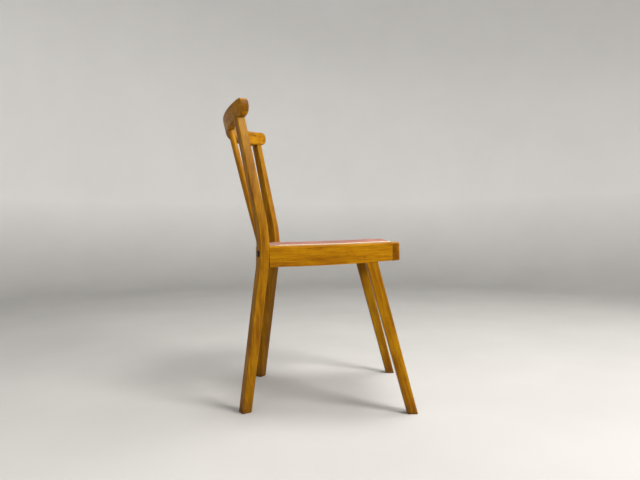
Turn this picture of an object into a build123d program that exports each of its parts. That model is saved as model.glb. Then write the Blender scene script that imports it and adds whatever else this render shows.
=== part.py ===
from build123d import *
import math
import os

# Dining chair: bent rear legs, bowed crest rail, three spindles, box seat frame, padded seat.
# Millimetres. The front of the chair faces -Y, the sitter's left is +X, the floor is z = 0.

# Rear legs. Each is one piece with its back post: foot, bend at the seat, top under the crest.
REAR_FOOT = Vector(171, 188, 0)
REAR_KNEE = Vector(173.4, 130, 448)
REAR_TOP = Vector(187, 193, 780)
KNEE_RADIUS = 460
SECTION_TURN = 31
FOOT_SIDE = 27
SEAT_SIDE = 27.5
POST_TOP_SIDE = 23
ARRIS_RADIUS = 3.2
LEG_OVERRUN = 30

# Crest rail: a bowed board that leans back.
CREST_LEAN = 12.5
CREST_WIDTH = 451
CREST_HEIGHT = 44
CREST_THICKNESS = 24
CREST_RADIUS = 350
CREST_BACK_Y = 255.7
CREST_BOTTOM_Z = 762
CREST_TOP_CORNER = 14
CREST_BOTTOM_CORNER = 28
CREST_EDGE_ROUND = 4.5
CREST_SPARE_TURN = 5

# Seat frame in plan.
REAR_HALF_WIDTH = 178
FRONT_HALF_WIDTH = 196
SEAT_FRONT_Y = -224
SEAT_CORNER_Y = 117
REAR_RAIL_RADIUS = 310
REAR_RAIL_BACK_Y = 174
RAIL_THICKNESS = 20
FRONT_CORNER_RADIUS = 8
RAIL_EDGE_ROUND = 6

# Seat frame from the side: heights of the top and bottom edges at the rear, middle and front.
EDGE_REAR_Y = 120
EDGE_MID_Y = -10
TOP_REAR_Z = 439.5
TOP_MID_Z = 441.0
TOP_FRONT_Z = 447.5
BOTTOM_REAR_Z = 384.5
BOTTOM_MID_Z = 387.0
BOTTOM_FRONT_Z = 401
FRONT_RAIL_DROP = 1

# Front legs.
FRONT_FOOT = Vector(193, -251.5, 0)
FRONT_TOP = Vector(175, -150.5, 397)
FRONT_FOOT_SIDE = 26.5
FRONT_TOP_SIDE = 32
TONGUE_RISE = 28

# Spindles: places across the chair at the seat and at the crest, and sizes.
SPINDLE_SEAT_X = 84
SPINDLE_CREST_X = 93.5
SPINDLE_RADIUS = 8.2
SPINDLE_END_RADIUS = 7.0
SPINDLE_TENON_RADIUS = 5
SPINDLE_TENON = 22
SPINDLE_BELLY = 0.45

# Joints and fixings.
CLEARANCE = 0.1
NOTCH_CLEARANCE = 0.05
POST_TENON_RADIUS = 6
POST_TENON = 24
POST_TENON_ROOT = 12
MORTISE_SPARE = 2
FOOT_CHAMFER = 1.5
HOLE_RUN_OUT = 12
BOLT_Z = 420
BOLT_RADIUS = 3
BOLT_HEAD_RADIUS = 8.8
BOLT_HEAD_HEIGHT = 4.6
BOLT_HEAD_ROUND = 4
BOLT_SEAT_OUT = 13.0
BOLT_LENGTH = 81
BLOCK_FACE_OUT = -58
BLOCK_WIDTH = 62
BLOCK_REACH = 70
BLOCK_HEIGHT = 30
FRONT_BLOCK_SIDE = 34
WASHER_RADIUS = 7.5
WASHER_THICKNESS = 1.5
NUT_RADIUS = 5.8
NUT_HEIGHT = 5
SCREW_RADIUS = 2
SCREW_HEAD_RADIUS = 3.9
SCREW_HEAD_HEIGHT = 2.2
LEG_SCREW_LENGTH = 24
LEG_SCREW_X = 159.5
LEG_SCREW_HEIGHTS = (406, 418)
PANEL_SCREW_LENGTH = 34
REAR_SCREW_OUT = -44
REAR_SCREW_ASIDE = 20
FRONT_SCREW_X = 162
FRONT_SCREW_Y = -190
DOWEL_RADIUS = 4
DOWEL_LENGTH = 28
FRONT_DOWEL_DEPTH = 12
FRONT_DOWEL_HEIGHTS = (412, 434)
REAR_DOWEL_DEPTH = 13
REAR_DOWEL_HEIGHTS = (396, 431)

# Seat pad, built up on a plywood panel that sits inside the frame. Heights are from the frame's top.
COVER_INSET = 22.5
COVER_THICKNESS = 1
SKIN_GAP = 0.1
PANEL_TOP = -3
PANEL_BOTTOM = -9
PAD_REAR_RISE = 7.5
PAD_MID_RISE = 9
PAD_FRONT_RISE = 6.5
PAD_CORNER = 8
PAD_ROUND = 5
HEM_WIDTH = 18
HEM_CUT_Z = 440
PIPING_OUTER_INSET = 19.3
PIPING_HEIGHT = 3.1
PIPING_ROUND = 1.2
PIPING_CUT_SPARE = 1
TACK_HEAD_RADIUS = 3
TACK_HEAD_HEIGHT = 1
TACK_SHANK_RADIUS = 0.8
TACK_LENGTH = 6
TACK_INSET = 32
TACKS_ALONG_SIDE = 5
TACK_SPACING = 57
TACK_FIRST = 28
TACKS_ACROSS = 3

SIDES = {"left": 1, "right": -1}
SPINDLES = {"back_spindle_left": 1, "back_spindle_middle": 0, "back_spindle_right": -1}


def on_side(point, side):
    """The same point on the left (1) or the right (-1) of the chair."""
    return Vector(point.X * side, point.Y, point.Z)


def section_plane(point, along, across):
    """A plane square to along, with its x axis as near to across as it can be."""
    normal = along.normalized()
    return Plane(origin=point, x_dir=(across - normal * across.dot(normal)), z_dir=normal)


def disc(plane, radius):
    """A round profile on a plane."""
    with BuildSketch(plane) as profile:
        Circle(radius)
    return profile.sketch


# Directions on the left rear leg: the outer face looks out and forwards, the rear face out and back.
TURN = math.radians(SECTION_TURN)
OUTER_FACE = Vector(math.cos(TURN), -math.sin(TURN), 0)
REAR_FACE = Vector(math.sin(TURN), math.cos(TURN), 0)

# The bend is an arc tangent to the lower leg and the post.
LOWER_RUN = (REAR_KNEE - REAR_FOOT).normalized()
UPPER_RUN = (REAR_TOP - REAR_KNEE).normalized()
HALF_BEND = math.radians(LOWER_RUN.get_angle(UPPER_RUN)) / 2
BEND_RUN = KNEE_RADIUS * math.tan(HALF_BEND)
BEND_START = REAR_KNEE - LOWER_RUN * BEND_RUN
BEND_END = REAR_KNEE + UPPER_RUN * BEND_RUN
BEND = Edge.make_tangent_arc(BEND_START, LOWER_RUN, BEND_END)
BEND_STEPS = 4

# The crest's own plane: x across the chair, y backwards, z up its leaning height.
LEAN = math.radians(CREST_LEAN)
CREST_UP = Vector(0, math.sin(LEAN), math.cos(LEAN))
CREST_BASE = Plane(origin=(0, CREST_BACK_Y, CREST_BOTTOM_Z), x_dir=(1, 0, 0), z_dir=CREST_UP)
CREST_REACH = math.asin(CREST_WIDTH / 2 / CREST_RADIUS)

REAR_ARC_CENTRE_Y = REAR_RAIL_BACK_Y - REAR_RAIL_RADIUS
TOP_EDGE = (TOP_REAR_Z, TOP_MID_Z, TOP_FRONT_Z)
BOTTOM_EDGE = (BOTTOM_REAR_Z, BOTTOM_MID_Z, BOTTOM_FRONT_Z)
PAD_EDGE = (TOP_REAR_Z + PAD_REAR_RISE, TOP_MID_Z + PAD_MID_RISE, TOP_FRONT_Z + PAD_FRONT_RISE)
RAIL_FRONT_Y = SEAT_FRONT_Y + RAIL_THICKNESS
COVER_BOTTOM = PANEL_BOTTOM - SKIN_GAP - COVER_THICKNESS
BLOCK_TOP = COVER_BOTTOM - SKIN_GAP
BLOCK_BOTTOM = BLOCK_TOP - BLOCK_HEIGHT
PANEL_INSET = COVER_INSET + COVER_THICKNESS + SKIN_GAP

# Cutting bodies reach past the seat frame by this much, and this high.
BAND_SPARE = 20
FRAME_TALL = 600
BAND_REACH = FRONT_HALF_WIDTH + BAND_SPARE
BAND_FRONT_Y = SEAT_FRONT_Y - BAND_SPARE
BAND_REAR_Y = REAR_RAIL_BACK_Y + BAND_SPARE

# Edges longer than these are a rail's long edges, and the rims of the bolt heads.
LONG_EDGE = 200
BOLT_HEAD_RIM = 50

# The rear corner's place is found by halving an interval this many times.
CORNER_HALVINGS = 40


def leg_side(z):
    """Width of the rear leg's square section at a height: widest at the seat."""
    if z < REAR_KNEE.Z:
        return FOOT_SIDE + (SEAT_SIDE - FOOT_SIDE) * z / REAR_KNEE.Z
    rise = (z - REAR_KNEE.Z) / (REAR_TOP.Z - REAR_KNEE.Z)
    return SEAT_SIDE + (POST_TOP_SIDE - SEAT_SIDE) * rise


def leg_section(point, along):
    """One rounded square section of the left rear leg."""
    side = leg_side(point.Z)
    with BuildSketch(section_plane(point, along, OUTER_FACE)) as profile:
        RectangleRounded(side, side, ARRIS_RADIUS)
    return profile.sketch


def side_half_width(y):
    """Half width of the seat frame's outside at a place from rear to front."""
    share = (SEAT_CORNER_Y - y) / (SEAT_CORNER_Y - SEAT_FRONT_Y)
    return REAR_HALF_WIDTH + (FRONT_HALF_WIDTH - REAR_HALF_WIDTH) * share


def corner_y(inset):
    """Where the side line, moved in by inset, meets the rear arc, moved in by inset."""
    low, high = 0.0, REAR_RAIL_BACK_Y
    for _ in range(CORNER_HALVINGS):
        y = (low + high) / 2
        reach = math.hypot(side_half_width(y) - inset, y - REAR_ARC_CENTRE_Y)
        if reach < REAR_RAIL_RADIUS - inset:
            low = y
        else:
            high = y
    return (low + high) / 2


def frame_outline(inset, height=0, corner_round=0):
    """The seat frame's plan outline moved in by inset, at a height, with its corners rounded."""
    front_y = SEAT_FRONT_Y + inset
    front_x = side_half_width(front_y) - inset
    rear_y = corner_y(inset)
    rear_x = side_half_width(rear_y) - inset
    with BuildSketch(Plane.XY.offset(height)) as outline:
        with BuildLine():
            Polyline((-rear_x, rear_y), (-front_x, front_y), (front_x, front_y), (rear_x, rear_y))
            ThreePointArc((rear_x, rear_y), (0, REAR_RAIL_BACK_Y - inset), (-rear_x, rear_y))
        make_face()
        if corner_round:
            fillet(outline.vertices(), corner_round)
    return outline.sketch


def edge_height(heights, y):
    """Height of one of the seat's long curved edges at a place from rear to front."""
    stations = (EDGE_REAR_Y, EDGE_MID_Y, SEAT_FRONT_Y)
    total = 0
    for here, height in zip(stations, heights):
        weight = 1
        for other in stations:
            if other != here:
                weight *= (y - other) / (here - other)
        total += height * weight
    return total


def side_band(top_heights, top_shift, bottom_heights, bottom_shift):
    """A profile seen from the side, between two of the seat's long curved edges."""
    stations = (BAND_REAR_Y, EDGE_MID_Y, BAND_FRONT_Y)
    with BuildSketch(Plane.YZ) as profile:
        with BuildLine():
            top = ThreePointArc(*[(y, edge_height(top_heights, y) + top_shift) for y in stations])
            bottom = ThreePointArc(*[(y, edge_height(bottom_heights, y) + bottom_shift) for y in stations])
            Line(top @ 0, bottom @ 0)
            Line(top @ 1, bottom @ 1)
        make_face()
    return profile.sketch


def crest_plan():
    """The crest's bowed plan on its own leaning plane, a little too long at each end."""
    inner_radius = CREST_RADIUS - CREST_THICKNESS
    reach = CREST_REACH + math.radians(CREST_SPARE_TURN)
    outer_x = CREST_RADIUS * math.sin(reach)
    outer_y = CREST_RADIUS * math.cos(reach) - CREST_RADIUS
    inner_x = inner_radius * math.sin(reach)
    inner_y = inner_radius * math.cos(reach) - CREST_RADIUS
    with BuildSketch(CREST_BASE) as plan:
        with BuildLine():
            ThreePointArc((-outer_x, outer_y), (0, 0), (outer_x, outer_y))
            Line((outer_x, outer_y), (inner_x, inner_y))
            ThreePointArc((inner_x, inner_y), (0, -CREST_THICKNESS), (-inner_x, inner_y))
            Line((-inner_x, inner_y), (-outer_x, outer_y))
        make_face()
    return plan.sketch


def crest_end_view(side):
    """The crest's outline seen square on to one end: a small top corner and a large bottom corner."""
    middle_radius = CREST_RADIUS - CREST_THICKNESS / 2
    end_x = middle_radius * math.sin(CREST_REACH)
    end_y = middle_radius * math.cos(CREST_REACH) - CREST_RADIUS
    end = CREST_BASE.from_local_coords(Vector(end_x * side, end_y, 0))
    outwards = CREST_BASE.x_dir * side * math.cos(CREST_REACH) - CREST_BASE.y_dir * math.sin(CREST_REACH)
    with BuildSketch(Plane(origin=end, x_dir=outwards, z_dir=outwards.cross(CREST_UP))) as outline:
        Rectangle(2 * CREST_WIDTH, CREST_HEIGHT, align=(Align.MAX, Align.MIN))
        top_corner = outline.vertices().sort_by(lambda corner: corner.X + corner.Y)[-1]
        fillet(top_corner, CREST_TOP_CORNER)
        bottom_corner = outline.vertices().sort_by(lambda corner: corner.X - corner.Y)[-1]
        fillet(bottom_corner, CREST_BOTTOM_CORNER)
    return outline.sketch


def spindle_ends(share):
    """Centres of a spindle's shoulders at the seat and at the crest. share is -1, 0 or 1."""
    seat_x = SPINDLE_SEAT_X * share
    seat_radius = REAR_RAIL_RADIUS - RAIL_THICKNESS / 2
    seat_y = REAR_ARC_CENTRE_Y + math.sqrt(seat_radius**2 - seat_x**2)
    crest_x = SPINDLE_CREST_X * share
    crest_middle = CREST_RADIUS - CREST_THICKNESS / 2
    crest_y = math.sqrt(crest_middle**2 - crest_x**2) - CREST_RADIUS
    top = CREST_BASE.from_local_coords(Vector(crest_x, crest_y, 0))
    return Vector(seat_x, seat_y, TOP_REAR_Z), top


def spindle_plane(share, from_seat):
    """A plane on a spindle's axis at its seat shoulder, from_seat millimetres up the axis."""
    seat, crest = spindle_ends(share)
    along = (crest - seat).normalized()
    return Plane(origin=seat + along * from_seat, x_dir=(1, 0, 0), z_dir=along)


def bolt_plane(side, out):
    """A plane on a leg bolt's axis, out millimetres behind the leg's centre, facing into the seat."""
    centre = BEND @ ((BOLT_Z - BEND_START.Z) / (BEND_END.Z - BEND_START.Z))
    place = Vector(centre.X, centre.Y, BOLT_Z) + REAR_FACE * out
    return Plane(origin=on_side(place, side), z_dir=on_side(REAR_FACE, side) * -1)


def seat_layer(inset, top_heights, top_shift, bottom_shift, corner_round=0, edge_round=0):
    """A flat body with the seat's outline and curve, with rounded corners and a rounded top edge."""
    with BuildPart() as layer:
        extrude(side_band(top_heights, top_shift, TOP_EDGE, bottom_shift), amount=BAND_REACH, both=True)
        extrude(frame_outline(inset, corner_round=corner_round), amount=FRAME_TALL, mode=Mode.INTERSECT)
        if edge_round:
            fillet(layer.faces().sort_by(Axis.Z)[-1].edges(), edge_round)
    return layer.part


def mirrored(source):
    """The right-hand twin of a left-hand piece."""
    return mirror(source.part, about=Plane.YZ)


def leg_screw_planes(side):
    """Where the screws start on the inside of a front leg's tongue, facing out."""
    planes = []
    for height in LEG_SCREW_HEIGHTS:
        y = FRONT_TOP.Y + (height - FRONT_TOP.Z) * (FRONT_TOP.Y - FRONT_FOOT.Y) / FRONT_TOP.Z
        planes.append(Plane(origin=(LEG_SCREW_X * side, y, height), z_dir=(side, 0, 0)))
    return planes


def panel_screw_planes(side):
    """Where the screws start under the corner blocks, facing up."""
    rear = bolt_plane(1, REAR_SCREW_OUT).origin - OUTER_FACE * REAR_SCREW_ASIDE
    planes = []
    for x, y in ((rear.X, rear.Y), (FRONT_SCREW_X, FRONT_SCREW_Y)):
        height = edge_height(TOP_EDGE, y) + BLOCK_BOTTOM
        planes.append(Plane.XY.move(Location((x * side, y, height))))
    return planes


def dowel_planes(side):
    """Where each dowel of the frame's corners starts, facing along it."""
    planes = []
    front_y = SEAT_FRONT_Y + RAIL_THICKNESS
    front_x = side_half_width(front_y) - RAIL_THICKNESS / 2
    for height in FRONT_DOWEL_HEIGHTS:
        place = (front_x * side, front_y - FRONT_DOWEL_DEPTH, height)
        planes.append(Plane(origin=place, z_dir=(0, 1, 0)))
    joint_x = side_half_width(corner_y(RAIL_THICKNESS)) - RAIL_THICKNESS
    joint_radius = REAR_RAIL_RADIUS - RAIL_THICKNESS / 2
    joint_y = REAR_ARC_CENTRE_Y + math.sqrt(joint_radius**2 - joint_x**2)
    for height in REAR_DOWEL_HEIGHTS:
        start = Vector(joint_x, joint_y, height) + OUTER_FACE * REAR_DOWEL_DEPTH
        planes.append(Plane(origin=on_side(start, side), z_dir=on_side(OUTER_FACE, side) * -1))
    return planes


def tack_planes():
    """Where the tacks start on the hem under the panel, facing up."""
    places = []
    for across in range(TACKS_ACROSS):
        share = 2 * (across + 1) / (TACKS_ACROSS + 1) - 1
        front_y = SEAT_FRONT_Y + TACK_INSET
        places.append((share * (side_half_width(front_y) - TACK_INSET), front_y))
        rear_x = share * (REAR_HALF_WIDTH - TACK_INSET)
        rear_y = REAR_ARC_CENTRE_Y + math.sqrt((REAR_RAIL_RADIUS - TACK_INSET) ** 2 - rear_x**2)
        places.append((rear_x, rear_y))
    for along in range(TACKS_ALONG_SIDE):
        y = SEAT_FRONT_Y + TACK_INSET + TACK_FIRST + along * TACK_SPACING
        for side in SIDES.values():
            places.append(((side_half_width(y) - TACK_INSET) * side, y))
    planes = []
    for x, y in places:
        height = edge_height(TOP_EDGE, y) + COVER_BOTTOM - TACK_HEAD_HEIGHT
        planes.append(Plane.XY.move(Location((x, y, height))))
    return planes


def wood_screw(plane, length, gap=0.0):
    """A countersunk screw driven from a plane, or with a gap round it the hole that it needs."""
    with BuildPart() as screw:
        head = disc(plane, SCREW_HEAD_RADIUS + gap)
        shank = disc(plane.offset(SCREW_HEAD_HEIGHT), SCREW_RADIUS + gap)
        loft([head, shank])
        extrude(shank, amount=length - SCREW_HEAD_HEIGHT + gap)
        if gap:
            extrude(head, amount=-HOLE_RUN_OUT)
    return screw.part


def rod(plane, radius, length):
    """A round rod standing on a plane."""
    with BuildPart() as round_rod:
        extrude(disc(plane, radius), amount=length)
    return round_rod.part


def tack(plane, gap=0.0):
    """A flat-headed tack, or with a gap round it the hole that it needs."""
    with BuildPart() as nail:
        extrude(disc(plane, TACK_HEAD_RADIUS + gap), amount=TACK_HEAD_HEIGHT)
        extrude(disc(plane, TACK_SHANK_RADIUS + gap), amount=TACK_HEAD_HEIGHT + TACK_LENGTH + gap)
        if gap:
            extrude(disc(plane, TACK_HEAD_RADIUS + gap), amount=-HOLE_RUN_OUT)
    return nail.part


# The whole seat frame in one, before it is cut into its four rails.
with BuildPart() as frame_ring:
    extrude(side_band(TOP_EDGE, 0, BOTTOM_EDGE, 0), amount=BAND_REACH, both=True)
    extrude(frame_outline(0), amount=FRAME_TALL, mode=Mode.INTERSECT)
    extrude(frame_outline(RAIL_THICKNESS), amount=FRAME_TALL, mode=Mode.SUBTRACT)

# Plan of the space between the side rails' inner faces, carried on past the front and rear.
with BuildSketch() as between_sides:
    with BuildLine():
        front_x = side_half_width(BAND_FRONT_Y) - RAIL_THICKNESS
        rear_x = side_half_width(BAND_REAR_Y) - RAIL_THICKNESS
        front_points = [(-front_x, BAND_FRONT_Y), (front_x, BAND_FRONT_Y)]
        rear_points = [(rear_x, BAND_REAR_Y), (-rear_x, BAND_REAR_Y)]
        Polyline(*front_points, *rear_points, close=True)
    make_face()

# Rear leg with its back post: straight leg, bend, straight post, round tenon into the crest.
POST_TENON_PLANE = section_plane(REAR_TOP, UPPER_RUN, OUTER_FACE)
with BuildPart() as rear_leg_left:
    below_floor = REAR_FOOT - LOWER_RUN * LEG_OVERRUN
    inside_crest = REAR_TOP + UPPER_RUN * LEG_OVERRUN
    bend_shares = [step / BEND_STEPS for step in range(BEND_STEPS + 1)]
    loft([leg_section(below_floor, LOWER_RUN), leg_section(BEND_START, LOWER_RUN)])
    loft([leg_section(BEND @ share, BEND % share) for share in bend_shares])
    loft([leg_section(BEND_END, UPPER_RUN), leg_section(inside_crest, UPPER_RUN)])
    split(bisect_by=Plane.XY, keep=Keep.TOP)
    split(bisect_by=CREST_BASE, keep=Keep.BOTTOM)
    chamfer(rear_leg_left.faces().sort_by(Axis.Z)[0].edges(), FOOT_CHAMFER)
    tenon_root = POST_TENON_PLANE.offset(-POST_TENON_ROOT)
    extrude(disc(tenon_root, POST_TENON_RADIUS), amount=POST_TENON + POST_TENON_ROOT)
    # A shallow notch houses the seat frame's rear corner.
    extrude(
        frame_outline(-NOTCH_CLEARANCE, BOTTOM_REAR_Z - NOTCH_CLEARANCE),
        amount=TOP_REAR_Z - BOTTOM_REAR_Z + 2 * NOTCH_CLEARANCE,
        mode=Mode.SUBTRACT,
    )
    bolt_start = bolt_plane(1, BOLT_SEAT_OUT)
    head_recess = disc(bolt_start, BOLT_HEAD_RADIUS + CLEARANCE)
    extrude(head_recess, amount=-LEG_OVERRUN, mode=Mode.SUBTRACT)
    shank_hole = disc(bolt_start, BOLT_RADIUS + CLEARANCE)
    extrude(shank_hole, amount=BOLT_LENGTH, mode=Mode.SUBTRACT)

with BuildPart() as rear_leg_right:
    add(mirrored(rear_leg_left))

# Crest rail with its five mortises.
with BuildPart() as crest_rail:
    extrude(crest_plan(), amount=CREST_HEIGHT)
    for side in SIDES.values():
        extrude(crest_end_view(side), amount=CREST_WIDTH, both=True, mode=Mode.INTERSECT)
    bowed_faces = crest_rail.faces().filter_by(GeomType.CYLINDER).sort_by(SortBy.AREA)[-2:]
    fillet(bowed_faces.edges(), CREST_EDGE_ROUND)
    for side in SIDES.values():
        mortise = Plane(
            origin=on_side(POST_TENON_PLANE.origin, side), z_dir=on_side(POST_TENON_PLANE.z_dir, side)
        ).offset(-LEG_OVERRUN)
        post_hole = disc(mortise, POST_TENON_RADIUS + CLEARANCE)
        extrude(post_hole, amount=LEG_OVERRUN + POST_TENON + MORTISE_SPARE, mode=Mode.SUBTRACT)
    for share in SPINDLES.values():
        seat_end, crest_end = spindle_ends(share)
        hole_start = (crest_end - seat_end).length - MORTISE_SPARE
        spindle_hole = disc(spindle_plane(share, hole_start), SPINDLE_TENON_RADIUS + CLEARANCE)
        extrude(spindle_hole, amount=SPINDLE_TENON + 2 * MORTISE_SPARE, mode=Mode.SUBTRACT)

# Spindles: round, a little thicker in the middle, with a tenon at each end.
spindles = {}
for name, share in SPINDLES.items():
    seat_end, crest_end = spindle_ends(share)
    run = (crest_end - seat_end).length
    tenon_start = spindle_plane(share, -SPINDLE_TENON)
    with BuildPart() as spindle:
        loft(
            [
                disc(tenon_start, SPINDLE_END_RADIUS),
                disc(spindle_plane(share, run * SPINDLE_BELLY), SPINDLE_RADIUS),
                disc(spindle_plane(share, run + SPINDLE_TENON), SPINDLE_END_RADIUS),
            ]
        )
        split(bisect_by=Plane.XY.offset(TOP_REAR_Z), keep=Keep.TOP)
        split(bisect_by=CREST_BASE, keep=Keep.BOTTOM)
        extrude(disc(tenon_start, SPINDLE_TENON_RADIUS), amount=run + 2 * SPINDLE_TENON)
    spindles[name] = spindle


# Holes, made once and cut from every piece that they pass through.
bolt_holes = {}
leg_screw_holes = {}
block_screw_holes = {}
dowel_holes = {}
for name, side in SIDES.items():
    bolt_start = bolt_plane(side, BOLT_SEAT_OUT)
    leg_screw_starts = leg_screw_planes(side)
    panel_screw_starts = panel_screw_planes(side)
    bolt_holes[name] = [rod(bolt_start, BOLT_RADIUS + CLEARANCE, BOLT_LENGTH)]
    leg_screw_holes[name] = [wood_screw(at, LEG_SCREW_LENGTH, CLEARANCE) for at in leg_screw_starts]
    block_screw_holes[name] = [wood_screw(at, PANEL_SCREW_LENGTH, CLEARANCE) for at in panel_screw_starts]
    dowel_holes[name] = [rod(at, DOWEL_RADIUS, DOWEL_LENGTH) for at in dowel_planes(side)]
tack_holes = [tack(plane, CLEARANCE) for plane in tack_planes()]

# Side rails run from the front rail to the rear outline.
with BuildPart() as side_rail_left:
    add(frame_ring.part)
    extrude(between_sides.sketch, amount=FRAME_TALL, mode=Mode.SUBTRACT)
    split(bisect_by=Plane.YZ, keep=Keep.TOP)
    split(bisect_by=Plane(origin=(0, RAIL_FRONT_Y, 0), z_dir=(0, 1, 0)), keep=Keep.TOP)
    long_edges = side_rail_left.edges().filter_by(lambda edge: edge.length > LONG_EDGE)
    fillet(long_edges.sort_by(lambda edge: edge.center().X + edge.center().Z)[-1], RAIL_EDGE_ROUND)
    add(bolt_holes["left"] + leg_screw_holes["left"] + dowel_holes["left"], mode=Mode.SUBTRACT)

with BuildPart() as side_rail_right:
    add(mirrored(side_rail_left))

# The front rail covers the side rails' ends and hangs a little lower than they do.
with BuildPart() as front_rail:
    extrude(side_band(TOP_EDGE, 0, BOTTOM_EDGE, -FRONT_RAIL_DROP), amount=BAND_REACH, both=True)
    extrude(frame_outline(0), amount=FRAME_TALL, mode=Mode.INTERSECT)
    split(bisect_by=Plane(origin=(0, RAIL_FRONT_Y, 0), z_dir=(0, 1, 0)), keep=Keep.BOTTOM)
    uprights = front_rail.edges().filter_by(Axis.Z)
    fillet(uprights.sort_by(Axis.Y)[:2], FRONT_CORNER_RADIUS)
    top_edges = front_rail.faces().sort_by(Axis.Z)[-1].edges()
    fillet(top_edges.sort_by(Axis.Y)[:-1], RAIL_EDGE_ROUND)
    add(dowel_holes["left"] + dowel_holes["right"], mode=Mode.SUBTRACT)

# The rear rail is bowed and fits between the side rails. The spindles stand in it.
with BuildPart() as rear_rail:
    add(frame_ring.part)
    extrude(between_sides.sketch, amount=FRAME_TALL, mode=Mode.INTERSECT)
    split(bisect_by=Plane(origin=(0, 0, 0), z_dir=(0, 1, 0)), keep=Keep.TOP)
    long_edges = rear_rail.edges().filter_by(lambda edge: edge.length > LONG_EDGE)
    fillet(long_edges.sort_by(lambda edge: edge.center().Y + edge.center().Z)[-1], RAIL_EDGE_ROUND)
    for share in SPINDLES.values():
        rail_hole = disc(spindle_plane(share, MORTISE_SPARE), SPINDLE_TENON_RADIUS + CLEARANCE)
        extrude(rail_hole, amount=-SPINDLE_TENON - 2 * MORTISE_SPARE, mode=Mode.SUBTRACT)
    for name in SIDES:
        add(bolt_holes[name] + dowel_holes[name], mode=Mode.SUBTRACT)

# Front legs splay forwards and outwards. Each has a shoulder under the side rail and a tongue inside it.
with BuildPart() as front_leg_left:
    tongue_z = FRONT_TOP.Z + TONGUE_RISE
    lean = (FRONT_TOP - FRONT_FOOT) * (tongue_z / FRONT_TOP.Z)
    tongue_side = FRONT_FOOT_SIDE + (FRONT_TOP_SIDE - FRONT_FOOT_SIDE) * tongue_z / FRONT_TOP.Z
    with BuildSketch(Plane.XY.move(Location(FRONT_FOOT))):
        RectangleRounded(FRONT_FOOT_SIDE, FRONT_FOOT_SIDE, ARRIS_RADIUS)
    with BuildSketch(Plane.XY.move(Location(FRONT_FOOT + lean))):
        RectangleRounded(tongue_side, tongue_side, ARRIS_RADIUS)
    loft()
    chamfer(front_leg_left.faces().sort_by(Axis.Z)[0].edges(), FOOT_CHAMFER)
    shoulder_band = side_band(TOP_EDGE, TONGUE_RISE, BOTTOM_EDGE, -NOTCH_CLEARANCE)
    rail_space = extrude(shoulder_band, amount=BAND_REACH, both=True, mode=Mode.PRIVATE)
    inside_rails = frame_outline(RAIL_THICKNESS + NOTCH_CLEARANCE)
    rail_space -= extrude(inside_rails, amount=FRAME_TALL, mode=Mode.PRIVATE)
    add(rail_space, mode=Mode.SUBTRACT)
    add(leg_screw_holes["left"], mode=Mode.SUBTRACT)

with BuildPart() as front_leg_right:
    add(mirrored(front_leg_left))

# Corner blocks. The rear ones lie square to the leg bolts, the front ones fill the corners.
block_layer = seat_layer(RAIL_THICKNESS, TOP_EDGE, BLOCK_TOP, BLOCK_BOTTOM)
with BuildPart() as rear_block_left:
    with BuildSketch(Plane(origin=(0, 0, 0), x_dir=OUTER_FACE, z_dir=(0, 0, 1))):
        axis = bolt_plane(1, BLOCK_FACE_OUT).origin
        with Locations((axis.dot(OUTER_FACE), axis.dot(REAR_FACE))):
            Rectangle(BLOCK_WIDTH, BLOCK_REACH, align=(Align.CENTER, Align.MIN))
    extrude(amount=FRAME_TALL)
    add(block_layer, mode=Mode.INTERSECT)
    add(bolt_holes["left"] + block_screw_holes["left"], mode=Mode.SUBTRACT)

with BuildPart() as rear_block_right:
    add(mirrored(rear_block_left))

with BuildPart() as front_block_left:
    with BuildSketch():
        corner_x = side_half_width(RAIL_FRONT_Y) - RAIL_THICKNESS
        Polygon(
            (corner_x, RAIL_FRONT_Y),
            (corner_x - FRONT_BLOCK_SIDE, RAIL_FRONT_Y),
            (corner_x, RAIL_FRONT_Y + FRONT_BLOCK_SIDE),
            align=None,
        )
    extrude(amount=FRAME_TALL)
    add(block_layer, mode=Mode.INTERSECT)
    add(block_screw_holes["left"], mode=Mode.SUBTRACT)

with BuildPart() as front_block_right:
    add(mirrored(front_block_left))

# Seat pad.
cover_corner = PAD_CORNER + COVER_THICKNESS
cover_round = PAD_ROUND + COVER_THICKNESS
foam_top = -COVER_THICKNESS - SKIN_GAP
lining_inset = PANEL_INSET - SKIN_GAP
lining_bottom = PANEL_BOTTOM - SKIN_GAP
panel_layer = seat_layer(PANEL_INSET, TOP_EDGE, PANEL_TOP, PANEL_BOTTOM, PAD_CORNER)
foam_layer = seat_layer(PANEL_INSET, PAD_EDGE, foam_top, PANEL_TOP, PAD_CORNER, PAD_ROUND)
cover_outside = seat_layer(COVER_INSET, PAD_EDGE, 0, COVER_BOTTOM, cover_corner, cover_round)
cover_inside = seat_layer(lining_inset, PAD_EDGE, -COVER_THICKNESS, lining_bottom, PAD_CORNER, PAD_ROUND)
piping_corner = cover_corner + COVER_INSET - PIPING_OUTER_INSET
piping_top = PIPING_HEIGHT + PIPING_CUT_SPARE
piping_layer = seat_layer(
    PIPING_OUTER_INSET, TOP_EDGE, PIPING_HEIGHT, SKIN_GAP, piping_corner, PIPING_ROUND
)
piping_inside = seat_layer(COVER_INSET - SKIN_GAP, TOP_EDGE, piping_top, -PIPING_CUT_SPARE, cover_corner)
with BuildPart() as seat_panel:
    add(panel_layer)
    add(block_screw_holes["left"] + block_screw_holes["right"] + tack_holes, mode=Mode.SUBTRACT)

with BuildPart() as seat_foam:
    add(foam_layer)

# The cover is wrapped round the panel's edge and tacked under it.
with BuildPart() as seat_cover:
    add(cover_outside)
    add(cover_inside, mode=Mode.SUBTRACT)
    extrude(frame_outline(COVER_INSET + HEM_WIDTH), amount=HEM_CUT_Z, mode=Mode.SUBTRACT)
    add(block_screw_holes["left"] + block_screw_holes["right"] + tack_holes, mode=Mode.SUBTRACT)

with BuildPart() as seat_piping:
    add(piping_layer)
    add(piping_inside, mode=Mode.SUBTRACT)

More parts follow.
